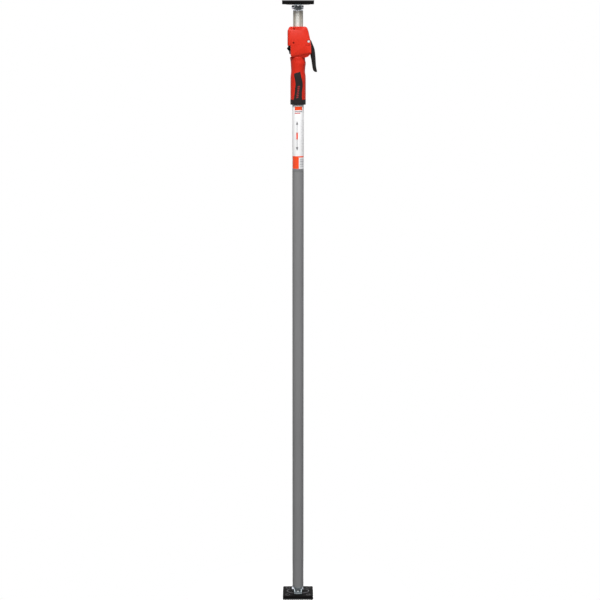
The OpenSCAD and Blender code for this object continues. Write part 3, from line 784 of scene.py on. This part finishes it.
def step_tool(left, right):
    """A wedge that shaves the face above a step; each end gives its x, foot height, depth and height."""
    face, back, high = -HALF_Y, 4, TOP + 12
    inner, outer = [], []
    for x, z, deep, tall in (left, right):
        inner.append((x, face + deep, z + tall))
        outer.append((x, face - back, z - tall / max(deep, 0.4) * back))
    (a, b), (c, d) = inner, outer
    return solid([a, b, (b[0], b[1], high), (a[0], a[1], high),
                  c, d, (d[0], d[1], high), (c[0], c[1], high)])


def face_step():
    """The band above the swept ridge lies back, and the ridge fades out towards the right."""
    left = (LEFT - 3, TOP - 9.4, 1.7, 3.2)
    middle = (9, TOP - 13, 1.15, 2.6)
    right = (17, TOP - 14.4, -0.05, 1.2)
    return [step_tool(left, middle), step_tool(middle, right)]


def under_cut(grow=0.0):
    """Takes the overhang's underside back in one slope, below an edge that rises towards the lever."""
    x0, x1 = -30, 46
    z0, z1 = TOP - 77.6 + grow, TOP - 60.4 + grow
    ahead, back = 4, 6.4 + grow
    front_y, back_y = -HALF_Y - ahead, -HALF_Y + back
    fall, low = 1.5, TOP - 120
    return solid([
        (x0, front_y, low), (x1, front_y, low), (x1, back_y, low), (x0, back_y, low),
        (x0, front_y, z0 + ahead * fall), (x1, front_y, z1 + ahead * fall),
        (x1, back_y, z1 - back * fall), (x0, back_y, z0 - back * fall)])


def side_plane():
    """Shaves the lower right of the face into a plane turned a little towards the lever."""
    x0, x1 = 18.2, 44
    y0, y1, ahead = -HALF_Y + 0.33, -HALF_Y + 2.6, -HALF_Y - 6
    z0, z1, fade, lean = TOP - 90, TOP - 44, 3, 0.6
    return solid([
        (x0, y0, z0), (x1, y1, z0), (x1, y1, z1 - fade), (x0, y0, z1 - fade),
        (x0 - lean, ahead, z0), (x1, ahead, z0), (x1, ahead, z1), (x0 - lean, ahead, z1)])


def front_shell(name):
    o = shell_form(name, 0, HALF_Y, CAP_Y, 0, seam=True)
    hollow = shell_form("tool", HOUSING_WALL, HALF_Y - FACE_WALL, CAP_Y - 1, 5)
    lx, lz = LEVER
    tools = [cut(hollow, under_cut(HOUSING_WALL))]
    tools += [bore(INNER_R + TUBE_PLAY, TOP + 20), bore(SLEEVE_BORE, FLANGE_Z + 12)]
    tools += [peg(x, TOP - d, WELL_R, -SCREW_Y) for x, d in SCREWS_AT] + [peg(lx, lz, 4.4, -HALF_Y + 2)]
    tools.append(opening(18, 60, LEVER_SLOT, FLANGE_Z - 9, lz + 6.1))
    tools.append(opening(-30, -17, RELEASE_SLOT, RELEASE[1] - 6, SLOT_TOP))
    tools += face_step() + [side_plane(), under_cut()]
    cut(o, *tools)
    boss = rim(WELL_R, BOSS_R, -SCREW_Y - 0.6, -CAP_Y, 0.2)
    for x, d in SCREWS_AT:
        o = joined(name, o, revolve("boss", boss, "housing_red", 40, (x, 0, TOP - d), "y"))
    return o


def screw(x, z, side):
    """A flat head with a hexagon socket, in its recess."""
    y, r = SCREW_Y, SCREW_R
    profile = [(0, y - 3), (r - 0.3, y - 3), (r - 0.1, y - 0.4), (r - 0.4, y), (0, y)]
    # the head's dark red colour is painted shade that stands for the recess's shadow
    head = revolve("screw", profile, "screw_painted_shade", 40, (x, 0, z), "y", False)
    cut(head, prism("tool", arc(x, z, 1.3, 0, 300, 5), y - 1.4, y + OVER, "screw_painted_shade"))
    return head if side > 0 else reflected(head, 1)


def lever_pin(name):
    """The pivot's domed head in its recess, with the shaft behind it."""
    at, y, back = (LEVER[0], 0, LEVER[1]), HALF_Y - 1.4, -HALF_Y
    head = [(0, y - 0.5), (3.1, y - 0.5), (3.4, y), (3.35, y + 0.9), (2.9, y + 1.4), (1.6, y + 1.62),
            (0, y + 1.65)]
    shaft = [(0, back + 0.3), (2.1, back + 0.3), (2.5, back + 0.7), (2.5, y + 0.2), (0, y + 0.2)]
    parts = [revolve("part", profile, "pin_steel", 48, at, "y", False) for profile in (head, shaft)]
    return reflected(joined(name, *parts), 1)


front = front_shell("housing_front_shell")
rear = other_side(front, "housing_rear_shell")
screws = joined("housing_screw_heads", *[screw(x, TOP - d, s) for x, d in SCREWS_AT for s in (-1, 1)])
done(front, "pole", "housing_front", slot="housing_red")
done(rear, "pole", "housing_back", slot="housing_red")
done(screws, "pole", "housing_screws", slot="zinc_steel")
done(lever_pin("lever_pivot_pin"), "pole", "lever_pin", slot="polished_steel")

# Grip: a row gives the depth below its top, then the radius at the left and at the right
GRIP_TOP = node_box("grip")[1][2]
GRIP_SHAPE = [
    (0.0, 20.0, 16.9), (0.35, 20.8, 17.8), (1.2, 21.2, 18.2), (2.6, 21.1, 18.3), (4.4, 20.7, 18.2),
    (7.6, 20.0, 18.4), (11.5, 19.45, 19.2), (14.1, 19.3, 20.0), (17.8, 19.0, 20.0), (23, 18.7, 19.2),
    (29, 18.3, 18.5), (33.2, 18.15, 18.3), (37.8, 18.25, 18.2), (43.5, 18.8, 18.85), (48.8, 19.4, 19.7),
    (55, 19.7, 20.0), (62, 19.8, 20.1), (109.0, 19.8, 20.1),
]
COLLAR_TOP = collar_hi[2]
COLLAR_R = 20.05

# Inlay: its edges as places across the grip and up from the collar, and how its rim rolls over
INLAY_LEFT = [(-12.6, -0.8), (-10.6, 9), (-9.2, 19), (-8.5, 29), (-7.3, 39), (-7.3, 42), (-8.7, 51),
              (-10.9, 61.5), (-11.1, 63.5), (-10.5, 67.4)]
INLAY_RIGHT = [(11.6, -0.8), (10.7, 8), (11.1, 19), (12, 28), (12.9, 36), (12.8, 42), (11.4, 50),
               (9.2, 58), (7.4, 66), (6, 73)]
INLAY_EDGE = (-0.6, 0.1, 0.42)
INLAY_PROUD = 0.5
MARKS_PROUD = 0.56


def grip_radii(z):
    """Left and right radius of the grip at a height."""
    d = max(0, GRIP_TOP - z)
    for (d0, l0, r0), (d1, l1, r1) in zip(GRIP_SHAPE, GRIP_SHAPE[1:]):
        if d <= d1:
            t = (d - d0) / (d1 - d0)
            return l0 + (l1 - l0) * t, r0 + (r1 - r0) * t
    return GRIP_SHAPE[-1][1:]


def grip_point(z, a, out=0.0):
    """A point of the grip's surface, a measured from the front towards +X."""
    left, right = grip_radii(z)
    r = (left + right) / 2 + (right - left) / 2 * math.sin(a) + out
    return r * math.sin(a), -r * math.cos(a), z


def grip_body(name):
    n, step = 128, 3
    heights = []
    for (d0, _, _), (d1, _, _) in zip(GRIP_SHAPE, GRIP_SHAPE[1:]):
        parts = max(1, round((d1 - d0) / step))
        heights += [GRIP_TOP - d0 - (d1 - d0) * k / parts for k in range(parts)]
    heights.append(COLLAR_TOP - 0.2)
    angles = [2 * math.pi * k / n for k in range(n)]
    rings = [[grip_point(z, a) for a in angles] for z in heights]
    top, bottom = ([(TUBE_R * math.sin(a), -TUBE_R * math.cos(a), z) for a in angles]
                   for z in (heights[0], heights[-1]))
    rings = [top] + rings + [bottom]
    return make(name, [p for r in rings for p in r], ring_faces(len(rings), n), "grip_red", 40)


def along(points, t):
    """Point at share t of a polyline."""
    f = t * (len(points) - 1)
    i = min(int(f), len(points) - 2)
    a, b = Vector(points[i]), Vector(points[i + 1])
    return a + (b - a) * (f - i)


def both_sides(name, build):
    """The same form on the front and on the back of the grip."""
    return joined(name, build(), reflected(build(), 1))


def inlay():
    """Soft rubber set into the grip, a little proud of it and rolled over at its edge."""
    rows, cols = 60, 28
    verts = []
    for i in range(rows + 1):
        left, right = along(INLAY_LEFT, i / rows), along(INLAY_RIGHT, i / rows)
        for j in range(cols + 1):
            x, z = left + (right - left) * (j / cols)
            edge = min(i if i > rows / 2 else rows, rows - i, j, cols - j)
            out = INLAY_EDGE[edge] if edge < len(INLAY_EDGE) else INLAY_PROUD
            z = COLLAR_TOP + z
            r = sum(grip_radii(z)) / 2
            verts.append(grip_point(z, math.asin(max(-1, min(1, x / r))), out))
    line = cols + 1
    faces = [(i * line + j, i * line + j + 1, (i + 1) * line + j + 1, (i + 1) * line + j)
             for i in range(rows) for j in range(cols)]
    return make("inlay", verts, faces, "grip_rubber", 60)


def inlay_marks():
    """A plain row of slanted red bars up the inlay."""
    count, pitch, first_z = 7, 4.6, 6
    first_x, drift = -1.8, 3.3
    wide, tall, slant = 2.6, 1.3, 0.8
    cols = 6
    verts, faces = [], []
    for k in range(count):
        cx, cz = first_x + drift * k / (count - 1), COLLAR_TOP + first_z + pitch * k
        for j in range(cols + 1):
            u = 2 * j / cols - 1
            for s in (-1, 1):
                z = cz + s * tall + slant * u
                verts.append(grip_point(z, (cx + wide * u) / (sum(grip_radii(z)) / 2), MARKS_PROUD))
        first = 2 * k * (cols + 1)
        faces += [(a, a + 2, a + 3, a + 1) for a in range(first, first + 2 * cols, 2)]
    return make("marks", verts, faces, "inlay_red", 60)


def collar(name):
    profile = rim(TUBE_R + 0.02, COLLAR_R, collar_lo[2] - 0.4, COLLAR_TOP, 0.6)
    return revolve(name, profile, "grip_rubber", 128)


done(grip_body("grip_sleeve"), "pole", "grip", slot="grip_red")
done(both_sides("grip_soft_inlay", inlay), "pole", "grip_inlay", slot="grip_rubber")
done(both_sides("grip_inlay_marks", inlay_marks), "pole", slot="grip_red")
done(collar("grip_end_collar"), "pole", "grip_collar", slot="grip_rubber")

# Pump lever: sections from its pivot, each an outer point, an inner point and a half width
PUMP_STATIONS = [
    ((3.6, 4.4), (-3.6, -1.6), 6.4), ((5.4, 4.2), (-3.2, -3.2), 7.2), ((7.4, 1), (-1.8, -7), 7.4),
    ((10.5, -6.6), (0.8, -13), 7.4), ((12.7, -11.8), (1.9, -17.2), 7.4), ((14.7, -16.6), (2.9, -21), 7.6),
    ((16.5, -24.3), (4, -27), 8.4), ((17.4, -32.1), (4.4, -33), 9.1), ((18, -40), (5.3, -40), 9.4),
    ((18.6, -48), (7.1, -47.8), 9.5), ((19, -56), (8.2, -55.6), 9.5), ((19.5, -63), (9.3, -62.8), 9.4),
    ((20.5, -69), (10.3, -68.8), 9.3), ((21.5, -73.6), (11.7, -73.4), 9.1),
    ((22.2, -76.6), (13.6, -76.2), 8.6), ((22, -77.9), (15.4, -77.5), 8),
    ((21.2, -78.5), (17.2, -78.3), 6.8),
]
GROOVE = [(12.3, -27), (13.3, -40), (14.2, -56), (15.6, -68),
          (14.6, -68), (12.6, -56), (11.4, -40), (10.6, -27)]
GROOVE_Y = 8.7
HUB_R = 5.7
HUB_BORE = 2.6
HUB_HALF = 7.4
ARM = [(-10.5, -2.8), (0, -3.8), (0, 3.8), (-10.5, 2.8)]

# Release lever: corners from its pivot with their radii, of the finger piece and of its cheeks
RELEASE_BODY = [
    ((0.6, -1.6), 0.5), ((0.6, 1.6), 0.5), ((-1.2, 4), 0.8), ((-1.2, 8.4), 0.5), ((-4.3, 8.4), 1),
    ((-7, 7.6), 0.8), ((-7, 11), 0.6), ((-8.2, 11.4), 1), ((-10.6, 8.1), 0.8), ((-9.6, 5.6), 1),
    ((-6.6, 2.6), 2), ((-5.1, -0.4), 2), ((-4.3, -6.6), 0.9), ((-1.6, -6.8), 0.9),
]
RELEASE_CHEEK = [
    ((-1.2, 4), 0.6), ((-1.2, 15), 0.5), ((-3.8, 15), 0.8), ((-7.3, 14), 1), ((-8.1, 11.4), 1),
    ((-10.5, 8.1), 0.8), ((-9.6, 5.6), 1), ((-7, 3), 1),
]
RELEASE_HALF = 6
CHEEK_T = 0.75


def from_pivot(pivot, points):
    """Points given from a pivot, as places in the frame."""
    return [(pivot[0] + x, pivot[1] + z) for x, z in points]


def loft(name, at, stations, mat):
    """A bar through sections that are rounded boxes."""
    n, power = 32, 3.2
    verts = []
    for (ox, oz), (ix, iz), w in stations:
        c = Vector(((ox + ix) / 2, (oz + iz) / 2))
        h = Vector(((ox - ix) / 2, (oz - iz) / 2))
        for k in range(n):
            a = 2 * math.pi * k / n
            u = math.copysign(abs(math.cos(a)) ** (2 / power), math.cos(a))
            v = math.copysign(abs(math.sin(a)) ** (2 / power), math.sin(a))
            verts.append((at[0] + c.x + h.x * u, w * v, at[1] + c.y + h.y * u))
    return make(name, verts, capped(len(stations), n), mat, 50)


def pump_lever(name):
    mat, past = "lever_black", 12
    body = loft("body", LEVER, PUMP_STATIONS, mat)
    barrel = rim(HUB_BORE, HUB_R, -HUB_HALF, HUB_HALF, 0.6)
    hub = revolve("hub", barrel, mat, 48, (LEVER[0], 0, LEVER[1]), "y")
    groove = from_pivot(LEVER, GROOVE)
    cut(body, prism("tool", groove, -past, -GROOVE_Y, mat), prism("tool", groove, GROOVE_Y, past, mat))
    arm = prism("arm", from_pivot(LEVER, ARM), 0.1 - HUB_HALF, HUB_HALF - 0.1, mat, 0.8)
    return joined(name, body, hub, arm)


def release_lever(name):
    """The finger piece, with two cheeks that straddle the brake plates' ends."""
    def part(table, y0, y1, bevel):
        pts = corner(from_pivot(RELEASE, [p for p, _ in table]), [r for _, r in table], 4)
        return prism(name, pts, y0, y1, "lever_black", bevel, 3, 40)

    half, inner, edge = RELEASE_HALF, RELEASE_HALF - CHEEK_T, 0.25
    return joined(name, part(RELEASE_BODY, -half, half, 0.7), part(RELEASE_CHEEK, -half, -inner, edge),
                  part(RELEASE_CHEEK, inner, half, edge))


done(pump_lever("squeeze_lever"), "lever", "pump_lever", slot="lever_black")
done(release_lever("thumb_release"), "release", "release_lever", slot="lever_black")

# Label: a printed film sleeve with a plain layout of its own. Places are round the tube from the
# front and down the film; a bar gives its left, right, upper and lower edge and its ink
FILM_R = label_hi[0]
FILM_TOP = label_hi[2]
FILM_END = FILM_TOP - 166.8
PRINT_LIFT = 0.05
# the pale bar on the right flank is painted shade on the white film; the other bars are print
HEAD_BARS = [(-9, 12, 5, 14.4, "label_orange"), (-9, 12, 16, 19.6, "label_grey"),
             (-9, 6, 21, 23.4, "label_red"), (14, 19, 5, 23.4, "label_painted_shade")]
SCALE_TOP = 40
SCALE_STEP = 4
SCALE_MARKS = 21
ARROW_BARS = [(-3.1, -1.9, 50, 76, "label_dark"), (-3.1, -1.9, 86, 112, "label_dark")]
ARROW_TIPS = [[(-5.6, 52), (-2.5, 42), (0.6, 52)], [(-5.6, 110), (-2.5, 120), (0.6, 110)]]
BLOCK_BARS = [(-4.6, -0.4, 72, 90, "label_orange"), (-18, 20, 133.6, 137, "label_orange"),
              (-18, 2, 137, 166.6, "label_orange")]
STRIPES = (2.2, 1.1, 3.0, 1.4, 2.4, 0.9, 1.8)
STRIPE_GAP = 1.5
STRIPES_TOP = 140.5
LINES_TOP = 141
LINE_STEP = 4.4


def decal(points, mat):
    """A convex patch of the print, laid on the film in narrow strips."""
    r, strip, tiny = FILM_R + PRINT_LIFT, 1.2, 1e-4
    u_lo, u_hi = min(u for u, _ in points), max(u for u, _ in points)
    steps = max(2, math.ceil((u_hi - u_lo) / strip))
    verts, faces = [], []
    for k in range(steps + 1):
        u = min(max(u_lo + (u_hi - u_lo) * k / steps, u_lo + tiny), u_hi - tiny)
        zs = []
        for (u0, z0), (u1, z1) in zip(points, points[1:] + points[:1]):
            if min(u0, u1) <= u <= max(u0, u1) and abs(u1 - u0) > 1e-6:
                zs.append(z0 + (z1 - z0) * (u - u0) / (u1 - u0))
        for z in (min(zs), max(zs)):
            verts.append((r * math.sin(u / FILM_R), -r * math.cos(u / FILM_R), FILM_TOP - z))
        if k:
            a = 2 * k
            faces.append((a - 2, a, a + 1, a - 1))
    return make("patch", verts, faces, mat)


def bar(u0, u1, z0, z1, mat):
    return decal([(u0, z0), (u1, z0), (u1, z1), (u0, z1)], mat)


def range_scale():
    """A ladder of marks, every fifth one longer, along an upright line."""
    grey, z0, line_u, line_w, mark_h = "label_grey", SCALE_TOP, 15.4, 0.6, 0.7
    marks = [bar(9, 15 if k % 5 == 0 else 12.4, z0 + SCALE_STEP * k, z0 + mark_h + SCALE_STEP * k, grey)
             for k in range(SCALE_MARKS)]
    z1 = z0 + mark_h + SCALE_STEP * (SCALE_MARKS - 1)
    return marks + [bar(line_u, line_u + line_w, z0, z1, grey)]


def stripes():
    """Bars of uneven height, one below the other."""
    out, z = [], STRIPES_TOP
    for h in STRIPES:
        out.append(bar(5, 17, z, z + h, "label_grey"))
        z += h + STRIPE_GAP
    return out


def label_print(name):
    out = [bar(*b) for b in HEAD_BARS] + range_scale()
    out += [bar(*b) for b in ARROW_BARS] + [decal(tip, "label_dark") for tip in ARROW_TIPS]
    out += [bar(*b) for b in BLOCK_BARS] + stripes()
    lines = [LINES_TOP + LINE_STEP * k for k in range(5)]
    out += [bar(-14, -2, z, z + 1.2, "label_red") for z in lines]
    return joined(name, *out)


film = revolve("label_film", rim(TUBE_R, FILM_R, FILM_END, FILM_TOP, 0.05), "label_white", 128)
tail = revolve("label_tail", rim(TUBE_R, FILM_R - 0.05, label_lo[2], FILM_END, 0.04), "label_clear", 128)
done(joined("label_film_sleeve", film, tail), "pole", "label_sleeve", slot="label_film")
done(label_print("label_printing"), "pole", slot="label_film")

# Inner works stay as the frame has them, each with its own finish
INNER_WORKS = {
    "upper_guide_bush": "acetal", "inner_guide": "acetal", "chassis": "zinc", "lever_pin_clip": "spring",
    "drive_plate": "dark_steel", "brake_plates": "dark_steel", "drive_spring": "spring",
    "brake_spring": "spring", "release_spring": "spring", "release_pin": "pin_steel",
}
for node, mat in INNER_WORKS.items():
    o = frame["nodes"][node]
    o.data.materials.clear()
    o.data.materials.append(M[mat])
    for p in o.data.polygons:
        p.material_index = 0

# Studio, in metres: a pale floor that fades into white away from the foot, and soft light from above.
# A lobe of the sky gives its direction, strength and sharpness
FLOOR_HALF = 20
FLOOR_FADE = (0.1, 0.3)
FLOOR_DROP = 0.0005
WHITE = (1, 1, 1, 1)
SKY_BASE = 0.08
SKY_LOBES = [((0.02, -1, 0.95), 5.4, 14), ((0, 1, 0.7), 5, 12), ((0, 0, 1), 0.6, 6)]
KEY_AT = (-0.25, -3.6, 4.9)
KEY_SIZE = (1.2, 1.4)
KEY_POWER = 135
KEY_AIM = (0, 0, 1.2)


def floor_material():
    """Grey to the light that it sends back, white to the eye, and pure white away from the shadow."""
    s = Shader("studio_floor")
    t = s.tree
    s.rough(s.noise(8, 2), 0.85, 0.95)
    s.bump(s.noise(300, 2), 0.1, 0.02)
    s.set(Specular_IOR_Level=0.1)
    length = t.nodes.new("ShaderNodeVectorMath")
    length.operation = "LENGTH"
    s.link(s.coords, length.inputs[0])
    fade = t.nodes.new("ShaderNodeMapRange")
    fade.inputs["From Min"].default_value, fade.inputs["From Max"].default_value = FLOOR_FADE
    s.link(length.outputs["Value"], fade.inputs["Value"])
    seen = seen_ray(t)
    tone = t.nodes.new("ShaderNodeMix")
    tone.data_type = "RGBA"
    tone.inputs[6].default_value, tone.inputs[7].default_value = srgb(100, 100, 100), WHITE
    s.link(seen, tone.inputs[0])
    s.link(tone.outputs[2], s.bsdf.inputs["Base Color"])
    glow = t.nodes.new("ShaderNodeEmission")
    glow.inputs["Color"].default_value = WHITE
    glow.inputs["Strength"].default_value = 1
    mix = t.nodes.new("ShaderNodeMixShader")
    s.link(math_node(t, "MULTIPLY", fade.outputs["Result"], seen), mix.inputs["Fac"])
    s.link(s.bsdf.outputs[0], mix.inputs[1])
    s.link(glow.outputs[0], mix.inputs[2])
    s.link(mix.outputs[0], t.nodes["Material Output"].inputs["Surface"])
    return s.mat


def world(base, lobes):
    """White to the eye; as light, a base level and soft lobes."""
    w = bpy.data.worlds.new("studio")
    bpy.context.scene.world = w
    w.use_nodes = True
    t = w.node_tree
    ray = t.nodes.new("ShaderNodeTexCoord").outputs["Generated"]
    level = base
    for way, strength, sharpness in lobes:
        dot = t.nodes.new("ShaderNodeVectorMath")
        dot.operation = "DOT_PRODUCT"
        dot.inputs[1].default_value = Vector(way).normalized()
        t.links.new(ray, dot.inputs[0])
        lobe = math_node(t, "POWER", math_node(t, "MAXIMUM", dot.outputs["Value"], 0), sharpness)
        level = math_node(t, "MULTIPLY_ADD", lobe, strength, level)
    mix = t.nodes.new("ShaderNodeMix")
    t.links.new(seen_ray(t), mix.inputs[0])
    t.links.new(level, mix.inputs[2])
    mix.inputs[3].default_value = 1
    back = t.nodes["Background"]
    back.inputs["Color"].default_value = WHITE
    t.links.new(mix.outputs[0], back.inputs["Strength"])


def softbox(name, at, size, power, aim):
    """A rectangular lamp turned towards its aim."""
    light = bpy.data.lights.new(name, "AREA")
    light.shape = "RECTANGLE"
    light.size, light.size_y = size
    light.energy = power
    o = bpy.data.objects.new(name, light)
    bpy.context.collection.objects.link(o)
    o.location = at
    o.rotation_euler = (Vector(aim) - Vector(at)).to_track_quat("-Z", "Y").to_euler()


M["floor"] = floor_material()
half, drop = FLOOR_HALF / MM, -FLOOR_DROP / MM
corners = [(-half, -half, drop), (half, -half, drop), (half, half, drop), (-half, half, drop)]
ground = make("studio_ground", corners, [(0, 1, 2, 3)], "floor")
world(SKY_BASE, SKY_LOBES)
softbox("key", KEY_AT, KEY_SIZE, KEY_POWER, KEY_AIM)
bpy.context.scene.view_settings.view_transform = "Standard"
